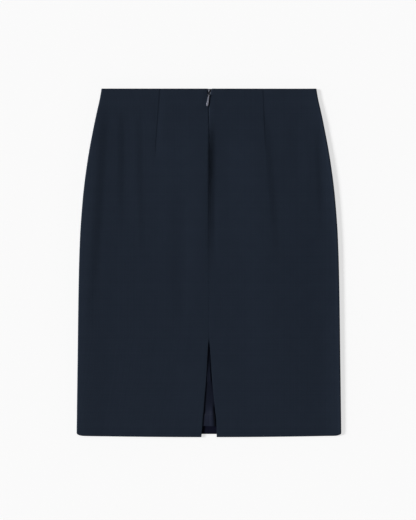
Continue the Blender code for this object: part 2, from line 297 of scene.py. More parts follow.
def zip_pucker(x, depth):
    away = abs(x - seam_line(depth))
    if away > 4 * PUCKER_REACH or depth > ZIP_LENGTH:
        return 0.0
    wave = math.sin(2 * math.pi * depth / PUCKER_LENGTH + (PUCKER_LAG if x > 0 else 0.0))
    fade = ease((depth - PUCKER_START) / PUCKER_FADE_IN)
    fade *= ease((ZIP_LENGTH - depth) / PUCKER_FADE_OUT)
    return PUCKER * wave * fade * math.exp(-(((away - PUCKER_MIDDLE) / PUCKER_REACH) ** 2))


def pressed_step(depth):
    waist = ease((FACING - depth) / PRESSED_REACH)
    hem = ease((depth - (SKIRT_LENGTH - HEM_ALLOWANCE)) / PRESSED_REACH)
    return PRESSED_STEP * (waist + hem)


def soft_wave(x, depth):
    """The slight unevenness of cloth that is nowhere perfectly flat."""
    along = depth / (WAVE_STRETCH * WAVE_LENGTH)
    return WAVE * noise.noise(Vector((x / WAVE_LENGTH, along, WAVE_SLICE)))


def back_height(x, depth):
    """Height of the outside of the back over the table."""
    height = read_stations(LOFT, depth)
    height += sum(fold_height(fold, x, depth) for fold in FOLDS)
    height -= dart_groove(BACK_DARTS[1 if x > 0 else -1], x, depth)
    height += zip_pucker(x, depth) + pressed_step(depth) + soft_wave(x, depth)
    droop = ease((depth - (SKIRT_LENGTH - DROOP_REACH)) / DROOP_REACH)
    return height - BACK_HEM_DROOP * droop


def edge_fall(distance):
    """How far cloth bends down close to a folded and pressed edge."""
    return EDGE_FALL * max(1 - distance / EDGE_REACH, 0.0) ** 2


heights = [back_height(x, depth) for depth in range(0, 600, 12) for x in range(-176, 181, 8)]
print(f"the back lies {min(heights):.1f} to {max(heights):.1f} mm above the table")

# %% [markdown]
# ## The camera
#
# The skirt is seen from straight above, like a garment on a copy stand. A long lens from
# 2.2 m up keeps its sides straight. The focal length follows from how much of the table the
# picture takes in, so it is worked out here and not found by trial.

# %% Camera
CAMERA_HEIGHT = 2.2
PICTURE_LENGTH = 0.8963
SENSOR = 36.0
CAMERA_X = -0.00164
CAMERA_Y = 0.0050


def add_object(name, data):
    """Put data into the scene as a new object."""
    thing = bpy.data.objects.new(name, data)
    bpy.context.scene.collection.objects.link(thing)
    return thing


camera_data = bpy.data.cameras.new("camera")
camera_data.sensor_width = SENSOR
camera_data.lens = SENSOR * CAMERA_HEIGHT / PICTURE_LENGTH
camera = add_object("camera", camera_data)
camera.location = (CAMERA_X, CAMERA_Y, CAMERA_HEIGHT)
bpy.context.scene.camera = camera
bpy.context.scene.view_settings.view_transform = "Standard"
print(f"{camera_data.lens:.1f} mm lens, {CAMERA_HEIGHT} m above the table")

# %% [markdown]
# ## Building blocks for materials
#
# Every cloth here is a procedure and not a picture, so that it never repeats and stays sharp
# close up. Each pattern is laid out on the piece's own UV map, which holds metres of cloth,
# so that the yarns follow the cloth over its folds and round its edges. A look is two
# colours, the limits of the roughness, and the depth and the strength of the relief.

# %% Node helpers
Look = namedtuple("Look", "dark light roughness relief")


def new_material(name):
    material = bpy.data.materials.new(name)
    material.use_nodes = True
    return material, material.node_tree, material.node_tree.nodes["Principled BSDF"]


def set_sockets(shader, **values):
    """Set a shader's sockets by name: sheen_weight=0.2 sets Sheen Weight."""
    names = {socket.name.lower().replace(" ", "_"): socket for socket in shader.inputs}
    for name, value in values.items():
        names[name].default_value = value


def feed(tree, socket, value):
    """Put a number into a socket, or link another node's output to it."""
    if isinstance(value, (int, float)):
        socket.default_value = value
    else:
        tree.links.new(value, socket)


def math_node(tree, operation, *values):
    node = tree.nodes.new("ShaderNodeMath")
    node.operation = operation
    for socket, value in zip(node.inputs, values):
        feed(tree, socket, value)
    return node.outputs[0]


def mix_colour(tree, factor, low, high):
    node = tree.nodes.new("ShaderNodeMix")
    node.data_type = "RGBA"
    factor_socket, low_socket, high_socket = node.inputs[0], node.inputs[6], node.inputs[7]
    feed(tree, factor_socket, factor)
    low_socket.default_value = (*low, 1.0)
    high_socket.default_value = (*high, 1.0)
    return node.outputs[2]


def map_range(tree, value, low, high, start=0.0, end=1.0):
    """Go from low to high as the value goes from start to end."""
    node = tree.nodes.new("ShaderNodeMapRange")
    names = ("From Min", "From Max", "To Min", "To Max")
    for name, limit in zip(names, (start, end, low, high)):
        node.inputs[name].default_value = limit
    tree.links.new(value, node.inputs["Value"])
    return node.outputs[0]


def cloudy(tree, vector, scale, detail):
    node = tree.nodes.new("ShaderNodeTexNoise")
    node.inputs["Scale"].default_value = scale
    node.inputs["Detail"].default_value = detail
    tree.links.new(vector, node.inputs["Vector"])
    return node.outputs["Fac"]


def one_tone_each(tree, number):
    """A random tone for each whole number, such as the number of a yarn."""
    node = tree.nodes.new("ShaderNodeTexWhiteNoise")
    node.noise_dimensions = "1D"
    tree.links.new(math_node(tree, "FLOOR", number), node.inputs["W"])
    return node.outputs["Value"]


def cloth_map(tree):
    """The cloth's UV map in metres: the vector, its part across and its part down."""
    uv = tree.nodes.new("ShaderNodeUVMap")
    uv.uv_map = "cloth"
    split = tree.nodes.new("ShaderNodeSeparateXYZ")
    tree.links.new(uv.outputs["UV"], split.inputs[0])
    return uv.outputs["UV"], split.outputs["X"], split.outputs["Y"]


def sine(tree, number):
    """A wave that crosses zero at every whole number."""
    return math_node(tree, "SINE", math_node(tree, "MULTIPLY", number, math.pi))


def ridges(tree, number):
    """A round ridge for each whole number, such as a float of satin."""
    return math_node(tree, "ABSOLUTE", sine(tree, number))


def bump(tree, shader, height, distance, strength):
    node = tree.nodes.new("ShaderNodeBump")
    node.inputs["Distance"].default_value = distance
    node.inputs["Strength"].default_value = strength
    tree.links.new(height, node.inputs["Height"])
    tree.links.new(node.outputs[0], shader.inputs["Normal"])


def apply_look(tree, shader, look, tone, gloss, height):
    """Let three patterns drive a look: its two colours, its roughness and its relief."""
    tree.links.new(mix_colour(tree, tone, look.dark, look.light), shader.inputs["Base Color"])
    tree.links.new(map_range(tree, gloss, *look.roughness), shader.inputs["Roughness"])
    bump(tree, shader, height, *look.relief)


def make_grained(name, look, scale, detail):
    """A material without a weave: one fine noise drives all of its look."""
    material, tree, shader = new_material(name)
    coordinates = tree.nodes.new("ShaderNodeTexCoord").outputs["Object"]
    grain = cloudy(tree, coordinates, scale, detail)
    apply_look(tree, shader, look, grain, grain, grain)
    return material


print("a look is made of", ", ".join(Look._fields))

# %% [markdown]
# ## Light and table
#
# A low sun with a wide disc stands in for a long softbox at the left of the table. It rakes
# over the cloth, so that a hollow half a millimetre deep still shows. The sky is brighter on
# the softbox's side and fills the rest softly. A real lamp close by would leave the far end
# of the table darker, and a sun keeps the white even.

# %% Light and table
KEY_ELEVATION = math.radians(25)
KEY_AZIMUTH = math.radians(173)
KEY_STRENGTH = 3.35
KEY_DISC = math.radians(14)
SKY_FAR_SIDE = 0.05
SKY_KEY_SIDE = 0.10
SKY_HORIZON = 1.4
HORIZON_TOP = 0.3
WHITE = (1.0, 1.0, 1.0, 1.0)
TABLE_WHITE = 0.5
TABLE_GLOW = 0.674
TABLE_SIZE = 40.0
TABLE_DROP = 0.0003


def add_key_light():
    light = bpy.data.lights.new("softbox", "SUN")
    light.energy = KEY_STRENGTH
    light.angle = KEY_DISC
    key = add_object("softbox", light)
    flat = math.cos(KEY_ELEVATION)
    across, along = flat * math.cos(KEY_AZIMUTH), flat * math.sin(KEY_AZIMUTH)
    towards = Vector((across, along, math.sin(KEY_ELEVATION)))
    key.rotation_euler = towards.to_track_quat("Z", "Y").to_euler()


def add_sky():
    world = bpy.data.worlds.new("studio")
    world.use_nodes = True
    bpy.context.scene.world = world
    tree = world.node_tree
    background = tree.nodes["Background"]
    background.inputs["Color"].default_value = WHITE
    split = tree.nodes.new("ShaderNodeSeparateXYZ")
    tree.links.new(tree.nodes.new("ShaderNodeTexCoord").outputs["Generated"], split.inputs[0])
    side = map_range(tree, split.outputs["X"], SKY_FAR_SIDE, SKY_KEY_SIDE, 1.0, -1.0)
    horizon = map_range(tree, split.outputs["Z"], SKY_HORIZON, 0.0, 0.0, HORIZON_TOP)
    tree.links.new(math_node(tree, "ADD", side, horizon), background.inputs["Strength"])


def add_table():
    bpy.ops.mesh.primitive_plane_add(size=TABLE_SIZE, location=(0, 0, -TABLE_DROP))
    table = bpy.context.object
    table.name = "table"
    white, _, shader = new_material("table_white")
    set_sockets(shader, base_color=(TABLE_WHITE, TABLE_WHITE, TABLE_WHITE, 1.0), roughness=1.0)
    set_sockets(shader, specular_ior_level=0.0, emission_color=WHITE, emission_strength=TABLE_GLOW)
    table.data.materials.append(white)


add_key_light()
add_sky()
add_table()
print(f"softbox {math.degrees(KEY_ELEVATION):.0f} degrees above the table")

# %% [markdown]
# ## Suiting
#
# The outer cloth is a fine plain weave of navy yarn. Close up it is a lattice in which warp
# and weft take turns on top; from a step away it is a matt surface. Two crossed sine waves
# make the lattice: where their product is positive the warp lies on top. Each yarn has a
# tone of its own, a little darker or lighter than its neighbour, which gives real cloth its
# fine streaks, and a slow noise lets the whole piece vary. The front's hem allowance, where
# it shows in the slit, is the same weave in much darker colours: painted shade for the
# shadow that lies on it there.

# %% The suiting material
YARN_PITCH = 0.5
YARN_SHARE, CLOUD_SHARE, FLOAT_SHARE = 0.45, 0.35, 0.25
SUITING = Look(
    dark=(0.0140, 0.0217, 0.0378),
    light=(0.0230, 0.0336, 0.0541),
    roughness=(0.95, 0.82),
    relief=(0.00006, 0.6),
)
# The same suiting in much darker colours for the hem allowance: painted shade.
HEM_PAINTED_SHADE = SUITING._replace(dark=(0.0032, 0.0040, 0.0135), light=(0.0072, 0.0085, 0.0260))


def plain_weave(tree, across, down, pitch):
    """Height of the floats of a plain weave, and the tone of the yarn that is on top."""
    warp_number = math_node(tree, "DIVIDE", across, pitch * MM)
    weft_number = math_node(tree, "DIVIDE", down, pitch * MM)
    crossing = math_node(tree, "MULTIPLY", sine(tree, warp_number), sine(tree, weft_number))
    warp_on_top = math_node(tree, "GREATER_THAN", crossing, 0.0)
    warp_tone = one_tone_each(tree, warp_number)
    weft_tone = one_tone_each(tree, math_node(tree, "ADD", weft_number, 0.5))
    difference = math_node(tree, "SUBTRACT", warp_tone, weft_tone)
    tone = math_node(tree, "MULTIPLY_ADD", difference, warp_on_top, weft_tone)
    return math_node(tree, "ABSOLUTE", crossing), tone


def make_suiting(name, look):
    material, tree, shader = new_material(name)
    uv, across, down = cloth_map(tree)
    floats, tone = plain_weave(tree, across, down, YARN_PITCH)
    cloud = cloudy(tree, uv, 45.0, 3.0)
    factor = math_node(tree, "MULTIPLY", tone, YARN_SHARE)
    factor = math_node(tree, "MULTIPLY_ADD", cloud, CLOUD_SHARE, factor)
    factor = math_node(tree, "MULTIPLY_ADD", floats, FLOAT_SHARE, factor)
    apply_look(tree, shader, look, factor, floats, floats)
    set_sockets(shader, specular_ior_level=0.12, sheen_weight=0.2, sheen_roughness=0.35)
    set_sockets(shader, sheen_tint=(0.8, 0.86, 1.0, 1.0))
    return material


suiting = make_suiting("navy_suiting", SUITING)
# The darker copy is painted shade for the hem allowance in the slit.
hem_painted_shade_suiting = make_suiting("dark_hem_tape", HEM_PAINTED_SHADE)
print("suiting: a yarn every", YARN_PITCH, "mm")

# %% [markdown]
# ## Laying a sheet of cloth
#
# Every panel is made in the same way. A grid is laid over it, row by row from the waist to
# the hem, and each point is moved to where the cloth lies. Solidify gives the cloth its
# wall, and Bevel rounds the wall's edges like a fold that was pressed. A cloth simulation
# was the other choice, but the outline and the folds have to stay where the tables put them.

# %% Helpers that lay a sheet
RIM_SEGMENTS = 3
ROLL_STEPS = 7
STRAIGHT_SHARE = 0.2
SMOOTH_ANGLE = math.radians(50)
RIM_ANGLE = math.radians(60)

Column = namedtuple("Column", "band share turn")


def columns_over(counts, rolled_start=False, rolled_end=True):
    """Columns that share out each band between two guide lines, with rolled sides."""
    last = len(counts) - 1
    rolls = [step / ROLL_STEPS for step in range(1, ROLL_STEPS + 1)]
    columns = [Column(0, 0.0, turn) for turn in reversed(rolls)] if rolled_start else []
    for band, count in enumerate(counts):
        columns += [Column(band, step / count, 0.0) for step in range(count)]
    columns.append(Column(last, 1.0, 0.0))
    if rolled_end:
        columns += [Column(last, 1.0, turn) for turn in rolls]
    return columns


def rows_down(start, groups):
    """Depths of the rows of a grid, from groups that say down to where and how many."""
    depths = [start]
    for to_depth, count in groups:
        top = depths[-1]
        depths += [top + (to_depth - top) * step / count for step in range(1, count + 1)]
    return depths


def between(guides, column):
    start, end = guides[column.band], guides[column.band + 1]
    return start + (end - start) * column.share


def side_roll(turn):
    """How far out and how far down a point of the side's roll lies, as shares."""
    arc = min(turn * ROLL_STEPS / (ROLL_STEPS - 1), 1.0) * math.pi / 2
    straight = max(turn * ROLL_STEPS - (ROLL_STEPS - 1), 0.0)
    return math.sin(arc), (1 - STRAIGHT_SHARE) * (1 - math.cos(arc)) + STRAIGHT_SHARE * straight


def pick(piece):
    """Make a piece the active one and the only one that is selected."""
    bpy.ops.object.select_all(action="DESELECT")
    piece.select_set(True)
    bpy.context.view_layer.objects.active = piece


def apply_modifiers(piece):
    pick(piece)
    for step in list(piece.modifiers):
        bpy.ops.object.modifier_apply(modifier=step.name)
    bpy.ops.object.shade_smooth_by_angle(angle=SMOOTH_ANGLE)


def lay_grid(name, columns, rows, place, face_up):
    """A grid of points from place(column, row), with the metres of cloth on its UV map."""
    mesh = bmesh.new()
    uv_layer = mesh.loops.layers.uv.new("cloth")
    metres, grid = [], []
    for row in rows:
        points = [to_world(*place(column, row)) for column in columns]
        across = points[0].x
        metres.append((across, -points[0].y))
        for point, previous in zip(points[1:], points):
            across += (point - previous).length
            metres.append((across, -point.y))
        grid.append([mesh.verts.new(point) for point in points])
    for upper, lower in zip(grid, grid[1:]):
        for corners in zip(upper, lower, lower[1:], upper[1:]):
            mesh.faces.new(corners)
    mesh.verts.index_update()
    mesh.normal_update()
    mesh.faces.ensure_lookup_table()
    middle = len(rows) // 2 * (len(columns) - 1) + len(columns) // 2
    if (mesh.faces[middle].normal.z > 0) != face_up:
        bmesh.ops.reverse_faces(mesh, faces=mesh.faces[:])
    for face in mesh.faces:
        for loop in face.loops:
            loop[uv_layer].uv = metres[loop.vert.index]
    data = bpy.data.meshes.new(name)
    mesh.to_mesh(data)
    mesh.free()
    return add_object(name, data)


def lay_sheet(name, columns, rows, place, wall, rim, face_up=True):
    """A grid with its wall under the face that shows, and with rounded rims."""
    sheet = lay_grid(name, columns, rows, place, face_up)
    solid = sheet.modifiers.new("Wall", "SOLIDIFY")
    solid.thickness = wall * MM
    solid.offset = -1
    solid.use_even_offset = True
    rounding = sheet.modifiers.new("Folded edge", "BEVEL")
    rounding.width = rim * MM
    rounding.segments = RIM_SEGMENTS
    rounding.limit_method = "ANGLE"
    rounding.angle_limit = RIM_ANGLE
    apply_modifiers(sheet)
    return sheet


def dress(piece, material, body="skirt", stands_for=()):
    """Give a finished piece its material and slot, and the body that it moves with."""
    piece.data.materials.clear()
    piece.data.materials.append(material)
    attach(piece, body)
    if stands_for:
        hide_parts(*stands_for)
    triangles = sum(len(face.vertices) - 2 for face in piece.data.polygons)
    print(f"{piece.name}: {triangles} triangles")


print("a sheet's rim is rounded in", RIM_SEGMENTS, "steps")

# %% [markdown]
# ## The two back panels
#
# Each back runs from the centre seam over the dart to the side seam, where it rolls over the
# edge to meet the front. Its columns crowd together at the centre edge and along the dart,
# so that the fine groove there has points to live on, and its rows do so at the waist and
# the hem. An even grid would need four times as many points for the same detail.

# %% Back panels
CLOTH = 0.9
RIM = 0.38
SIDE_ROLL = {-1: 2.4, 1: 1.6}
SIDE_SEAM_SHARE = 0.48
EDGE_BAND = 5.0
SEAM_PRESS = stations(
    (0, 1.0), (30, 1.6), (70, 1.2), (130, 0.6), (200, 0.3),
    (300, 0.05), (430, 0.1), (600, 0.3),
)
DART_BAND = 4.0
BACK_COLUMNS = (8, 36, 14, 40)
BACK_ROWS = ((2.4, 4), (32, 24), (200, 68), (420, 76), (586, 66), (597.6, 6), (600, 4))


def back_guides(side, depth):
    """Lines down a back panel between which its columns are shared out."""
    inner = seam_line(depth) + side * centre_edge(depth)
    dart = dart_line(BACK_DARTS[side], depth)
    edge = side * (half_width(depth) - SIDE_ROLL[side])
    return inner, inner + side * EDGE_BAND, dart - side * DART_BAND, dart + side * DART_BAND, edge


def seam_height(side, depth):
    """Height of a side seam over the table."""
    return SIDE_SEAM_SHARE * back_height(side * (half_width(depth) - SIDE_ROLL[side]), depth)


def back_place(side, column, row):
    """Where a point of a back panel lies."""
    out, fall = side_roll(column.turn)
    at_hem = abs(between(back_guides(side, SKIRT_LENGTH), column)) + SIDE_ROLL[side] * out
    hem = back_hem(at_hem)
    depth = row / SKIRT_LENGTH * hem
    guides = back_guides(side, depth)
    x = between(guides, column)
    height = back_height(x, depth)
    pressed = read_stations(SEAM_PRESS, depth)
    height -= pressed * edge_fall(abs(x - guides[0])) + edge_fall(depth) + edge_fall(hem - depth)
    seam = seam_height(side, depth) + SEAM_HALF_GAP
    return x + side * SIDE_ROLL[side] * out, depth, height - (height - seam) * fall


for side, node in ((-1, "back_left"), (1, "back_right")):
    back = lay_sheet(
        f"{node}_cloth",
        columns_over(BACK_COLUMNS),
        rows_down(0.0, BACK_ROWS),
        lambda column, row, side=side: back_place(side, column, row),
        CLOTH,
        RIM,
    )
    dress(back, suiting, stands_for=[node])

# %% [markdown]
# ## The front panel
#
# The skirt lies on its front, so this panel is flat on the table and only its edges rise to
# the side seams. It has two darts of its own, on the hidden outside. Its inside is what
# shows at the foot of the slit.

# %% Front panel
FRONT_DARTS = {-1: Dart(-84.0, -91.0, 95.0), 1: Dart(84.0, 91.0, 95.0)}
FRONT_GROOVE_SHARE = 0.8
FRONT_COLUMNS = (28, 10, 44, 10, 28)
FRONT_ROWS = ((2.4, 3), (110, 44), (560, 84), (597.6, 12), (600, 3))


def front_guides(depth):
    left, right = (dart_line(FRONT_DARTS[side], depth) for side in (-1, 1))
    left_edge, right_edge = (side * (half_width(depth) - SIDE_ROLL[side]) for side in (-1, 1))
    at_left, at_right = (left - DART_BAND, left + DART_BAND), (right - DART_BAND, right + DART_BAND)
    return left_edge, *at_left, *at_right, right_edge


def front_place(column, row):
    """Where a point of the front's outside lies: on the table, up to the side seams."""
    side = 1 if column.band > 2 else -1
    out, fall = side_roll(column.turn)
    hem = front_hem(abs(between(front_guides(SKIRT_LENGTH), column)) + SIDE_ROLL[side] * out)
    depth = row / SKIRT_LENGTH * hem
    x = between(front_guides(depth), column)
    lift = FRONT_GROOVE_SHARE * dart_groove(FRONT_DARTS[side], x, depth)
    lift += edge_fall(depth) + edge_fall(hem - depth)
    seam = seam_height(side, depth) - SEAM_HALF_GAP
    return x + side * SIDE_ROLL[side] * out, depth, lift + (seam - lift) * fall


front = lay_sheet(
    "front_panel_cloth",
    columns_over(FRONT_COLUMNS, rolled_start=True),
    rows_down(0.0, FRONT_ROWS),
    front_place,
    CLOTH,
    RIM,
    face_up=False,
)
dress(front, suiting, stands_for=["front_panel"])

# %% [markdown]
# ## The front's turned-up hem
#
# Inside the hem the cloth is folded up once and held with hidden stitches. The last
# centimetre of this allowance shows in the slit, below the lining, and its colours are much
# darker than the suiting's: painted shade for the shadow there. It is a strip of its own,
# because a fold in the panel's grid would double every column for the sake of one edge.

# %% Hem allowance of the front
ALLOWANCE_WALL = 0.4
ALLOWANCE_GAP = 0.06
ALLOWANCE_INSET = 0.5
ALLOWANCE_COLUMNS = (60,)
ALLOWANCE_ROWS = ((33.6, 12), (HEM_ALLOWANCE, 3))
ALLOWANCE_SIDE = 8.0
ALLOWANCE_RIM = 0.2
ALLOWANCE_FALL = 0.6


def allowance_place(column, row):
    """A point of the upper face of the allowance; row counts down from its raw edge."""
    edge = half_width(SKIRT_LENGTH) - ALLOWANCE_SIDE
    x = between((-edge, edge), column)
    depth = front_hem(abs(x)) - ALLOWANCE_INSET - HEM_ALLOWANCE + row
    height = CLOTH + ALLOWANCE_GAP + ALLOWANCE_WALL
    return x, depth, height - ALLOWANCE_FALL * edge_fall(HEM_ALLOWANCE - row)


allowance = lay_sheet(
    "front_hem_allowance",
    columns_over(ALLOWANCE_COLUMNS, rolled_end=False),
    rows_down(0.0, ALLOWANCE_ROWS),
    allowance_place,
    ALLOWANCE_WALL,
    ALLOWANCE_RIM,
)
# The allowance wears the darker suiting: painted shade for the shadow on it.
dress(allowance, hem_painted_shade_suiting)

# %% [markdown]
# ## Satin for the lining
#
# The lining is a thin satin. Its long floats lie side by side and reflect in one direction,
# so it is darker than the suiting where it turns away and brighter where it bulges up to the
# light. Fine ribs across the floats and a low roughness make that; a plain glossy material
# would look like plastic.

# %% The lining material
SATIN_PITCH = 0.3
SATIN = Look(
    dark=(0.0105, 0.0138, 0.0285),
    light=(0.0170, 0.0220, 0.0440),
    roughness=(0.36, 0.46),
    relief=(0.00003, 0.5),
)


def make_satin():
    material, tree, shader = new_material("navy_satin")
    uv, across, _ = cloth_map(tree)
    number = math_node(tree, "DIVIDE", across, SATIN_PITCH * MM)
    tone = one_tone_each(tree, number)
    cloud = cloudy(tree, uv, 60.0, 2.0)
    factor = math_node(tree, "MULTIPLY_ADD", cloud, 0.5, math_node(tree, "MULTIPLY", tone, 0.5))
    apply_look(tree, shader, SATIN, factor, cloud, ridges(tree, number))
    set_sockets(shader, specular_ior_level=0.12, anisotropic=0.4, sheen_weight=0.04)
    return material


satin = make_satin()
print("satin: a float every", SATIN_PITCH, "mm")

# %% [markdown]
# ## The front lining
#
# The slit shows the front's lining, which hangs free and so bulges up a little between the
# two folded edges. A section across the slit is written as heights at shares of the
# opening, and another table says how strong that bulge is on the way down. A third table
# lets the lining rise towards the slit's left edge. It is held under the backs and over the
# turned-up hem, so that no sheet runs through another. The lining ends in a double-turned
# hem, a little above the hem of the skirt.

# %% Front lining
LINING_WALL = 0.28
LINING_TOP = 392.0
LINING_HEM = 581.0
LINING_HALF_WIDTH = 55.0
LINING_REST = 1.3
LINING_BAND = 22.0
LINING_BAND_STEP = 0.3
LINING_BAND_FADE = 1.2
LINING_RIM = 0.1
LINING_HEM_FALL = 0.4
LINING_CLEARANCE = 0.08
LINING_SWELL = 0.8
LEAN_END = 1.25
LEAN_UNDER_BACK = 0.6
RAISE_BEFORE_BAND = 9.0
RAISE_FADE = 6.0
LEAST_OPENING = 3.0
SECTION_REACH = 1.3
LINING_SECTION = stations(
    (-1.25, 1.5), (-1.0, 1.7), (-0.7, 2.15), (-0.1, 3.0), (0.45, 4.0),
    (0.6, 3.9), (0.8, 2.8), (0.92, 1.8), (1.0, 1.4), (1.25, 1.4),
)
LINING_BULGE = stations(
    (430, 0.0), (470, 0.1), (496, 0.4), (508, 0.1), (524, 0.0),
    (540, 0.05), (552, 0.65), (562, 1.15), (581, 1.2),
)
LINING_LEAN = stations(
    (430, 0.3), (490, 1.2), (525, 1.05), (545, 0.85), (558, 0.3),
    (600, 0.1),
)
LINING_COLUMNS = (10, 30, 10)
LINING_ROWS = ((556, 62), (562, 8), (LINING_HEM, 14))


def lining_height(x, depth):
    """Height of the lining's upper face."""
    opening = max(centre_edge(depth), LEAST_OPENING)
    across = (x - seam_line(depth)) / opening
    section = read_stations(LINING_SECTION, across)
    height = LINING_REST + (section - LINING_REST) * read_stations(LINING_BULGE, depth)
    lean = LEAN_END - max(across, -1.0) - LEAN_UNDER_BACK * max(-1.0 - across, 0.0)
    height += read_stations(LINING_LEAN, depth) * max(lean, 0.0)
    into_band = depth - (LINING_HEM - LINING_BAND)
    height += LINING_BAND_STEP * ease(into_band / LINING_BAND_FADE)
    ceiling = back_height(x, depth) - CLOTH - EDGE_FALL - LINING_CLEARANCE
    height = min(height, ceiling + LINING_SWELL * max((1 - abs(across)) * opening, 0.0))
    over_allowance = ease((into_band + RAISE_BEFORE_BAND) / RAISE_FADE)
    floor = CLOTH + LINING_WALL + (ALLOWANCE_WALL + 2 * LINING_CLEARANCE) * over_allowance
    return max(height, floor + LINING_CLEARANCE)


def lining_place(column, row):
    middle = seam_line(row)
    reach = SECTION_REACH * max(centre_edge(row), LEAST_OPENING)
    guides = (-LINING_HALF_WIDTH, middle - reach, middle + reach, LINING_HALF_WIDTH)
    x = between(guides, column)
    return x, row, lining_height(x, row) - LINING_HEM_FALL * edge_fall(LINING_HEM - row)


lining = lay_sheet(
    "front_lining_satin",
    columns_over(LINING_COLUMNS, rolled_end=False),
    rows_down(LINING_TOP, LINING_ROWS),
    lining_place,
    LINING_WALL,
    LINING_RIM,
)
dress(lining, satin, stands_for=["front_lining"])

# %% [markdown]
# ## Stitches of the lining hem
#
# The lining's hem is sewn by machine, so its stitches lie on the satin in a row, a thread's
# width thick. One stitch is a small sphere drawn out long and thin; the others are copies of
# it, joined into one piece. A curve with a dashed texture would have no relief.

# %% Lining hem stitches
STITCH_LENGTH = 2.2
STITCH_PITCH = 3.0
STITCH_THICKNESS = 0.3
STITCH_INTO_BAND = 1.6
STITCH_LIFT = 0.05
THREAD = Look(
    dark=(0.014, 0.018, 0.027),
    light=(0.024, 0.029, 0.040),
    roughness=(0.45, 0.65),
    relief=(0.00004, 0.6),
)


def join(pieces, name):
    """Make one piece of several."""
    bpy.ops.object.select_all(action="DESELECT")
    for piece in pieces:
        piece.select_set(True)
    bpy.context.view_layer.objects.active = pieces[0]
    bpy.ops.object.join()
    joined = bpy.context.object
    joined.name = joined.data.name = name
    return joined


def stitch_row(name, points):
    """One stitch at each point, joined: points are x, depth and height in millimetres."""
    stitches = []
    for point in points:
        bpy.ops.mesh.primitive_uv_sphere_add(
            segments=8, ring_count=6, radius=0.5 * MM, location=to_world(*point)
        )
        stitch = bpy.context.object
        stitch.scale = (STITCH_LENGTH, STITCH_THICKNESS, STITCH_THICKNESS)
        stitches.append(stitch)
    row = join(stitches, name)
    bpy.ops.object.transform_apply(location=True, rotation=True, scale=True)
    bpy.ops.object.shade_smooth()
    return row


thread = make_grained("navy_thread", THREAD, scale=2500.0, detail=1.0)
stitch_depth = LINING_HEM - LINING_BAND + STITCH_INTO_BAND
stitch_count = int(2 * LINING_HALF_WIDTH / STITCH_PITCH) - 1
first_stitch = -STITCH_PITCH * (stitch_count - 1) / 2
lining_stitches = stitch_row(
    "lining_hem_stitches",
    [
        (x, stitch_depth, lining_height(x, stitch_depth) + STITCH_LIFT)
        for x in (first_stitch + STITCH_PITCH * index for index in range(stitch_count))
    ],
)
dress(lining_stitches, thread)

# %% [markdown]
# ## Zip tape
#
# An invisible zip is two woven tapes with a coil of nylon sewn to the edge of each. The
# tapes are stitched under the folded edges of the backs, so little more than their edges
# show, in the notch above the slider, and the left one curls up there. They follow the
# height of the backs, a wall lower. Their colours are much lighter than the cloth's:
# painted light for the bright streaks along the edges of the notch.

# %% Zip tapes
TAPE_WALL = 0.45
TAPE_GAP = 0.1
TAPE_RIM = 0.12
TAPE_WIDTH = 12.5
TAPE_TOP = 1.4
TAPE_SHOWS = {
    -1: stations((0, 3.3), (4, 2.6), (8, 1.3), (11, 0.25), (600, 0.25)),
    1: stations((0, 2.2), (4, 1.9), (8, 0.8), (11, 0.25), (600, 0.25)),
}
TAPE_CURL = 1.8
TAPE_CURL_TO = 8.0
TAPE_CURL_FADE = 3.0
TAPE_CURL_REACH = 2.4
TAPE_COLUMNS = (24,)
TAPE_ROWS = ((4, 2), (24, 16), (ZIP_LENGTH, 62))
TAPE_RIB_PITCH = 0.8
TAPE_YARN_PITCH = 0.4
# Light grey-blue colours: painted light for the bright edges in the notch.
TAPE_PAINTED_LIGHT = Look(
    dark=(0.075, 0.082, 0.110),
    light=(0.155, 0.165, 0.205),
    roughness=(0.8, 0.65),
    relief=(0.00008, 0.7),
)


def make_tape_with_painted_light():
    material, tree, shader = new_material("navy_zip_tape")
    _, across, down = cloth_map(tree)
    ribs = ridges(tree, math_node(tree, "DIVIDE", down, TAPE_RIB_PITCH * MM))
    floats, tone = plain_weave(tree, across, down, TAPE_YARN_PITCH)
    relief = math_node(tree, "MULTIPLY_ADD", floats, 0.4, ribs)
    factor = math_node(tree, "MULTIPLY_ADD", tone, 0.4, math_node(tree, "MULTIPLY", ribs, 0.5))
    apply_look(tree, shader, TAPE_PAINTED_LIGHT, factor, floats, relief)
    return material


def tape_edge(side, depth, least):
    """Distance from the seam line to the inner edge of a tape."""
    return max(centre_edge(depth) - read_stations(TAPE_SHOWS[side], depth), least)


def tape_height(x, depth):
    """Height of a tape's upper face: under the back, and never in the front."""
    fall = EDGE_FALL * max(read_stations(SEAM_PRESS, depth), 1.0)
    return max(back_height(x, depth) - CLOTH - TAPE_GAP - fall, CLOTH + TAPE_WALL + TAPE_GAP)


def tape_place(side, column, row):
    line = seam_line(row)
    inner = tape_edge(side, row, SEAM_HALF_GAP)
    x = between((line + side * inner, line + side * TAPE_WIDTH), column)
    beyond = ease((centre_edge(row) - abs(x - line)) / TAPE_CURL_REACH)
    curl = TAPE_CURL * beyond * ease((TAPE_CURL_TO - row) / TAPE_CURL_FADE)
    return x, row, tape_height(x, row) + (curl if side < 0 else 0.0)


# The tapes' light colours are painted light.
tape_with_painted_light = make_tape_with_painted_light()
for side, node in ((-1, "zip_tape_left"), (1, "zip_tape_right")):
    tape = lay_sheet(
        f"{node}_woven",
        columns_over(TAPE_COLUMNS, rolled_end=False),
        rows_down(TAPE_TOP, TAPE_ROWS),
        lambda column, row, side=side: tape_place(side, column, row),
        TAPE_WALL,
        TAPE_RIM,
    )
    dress(tape, tape_with_painted_light, stands_for=[node])

# %% [markdown]
# ## The nylon coil
#
# The teeth of this zip are one nylon wire wound into a flat spiral. Above the slider the two
# coils stand apart with their tapes, below it they mesh. A spiral is a formula, so the wire
# is a curve through points on it, with a round bevel. It leaves out the stretch that runs
# through the slider.

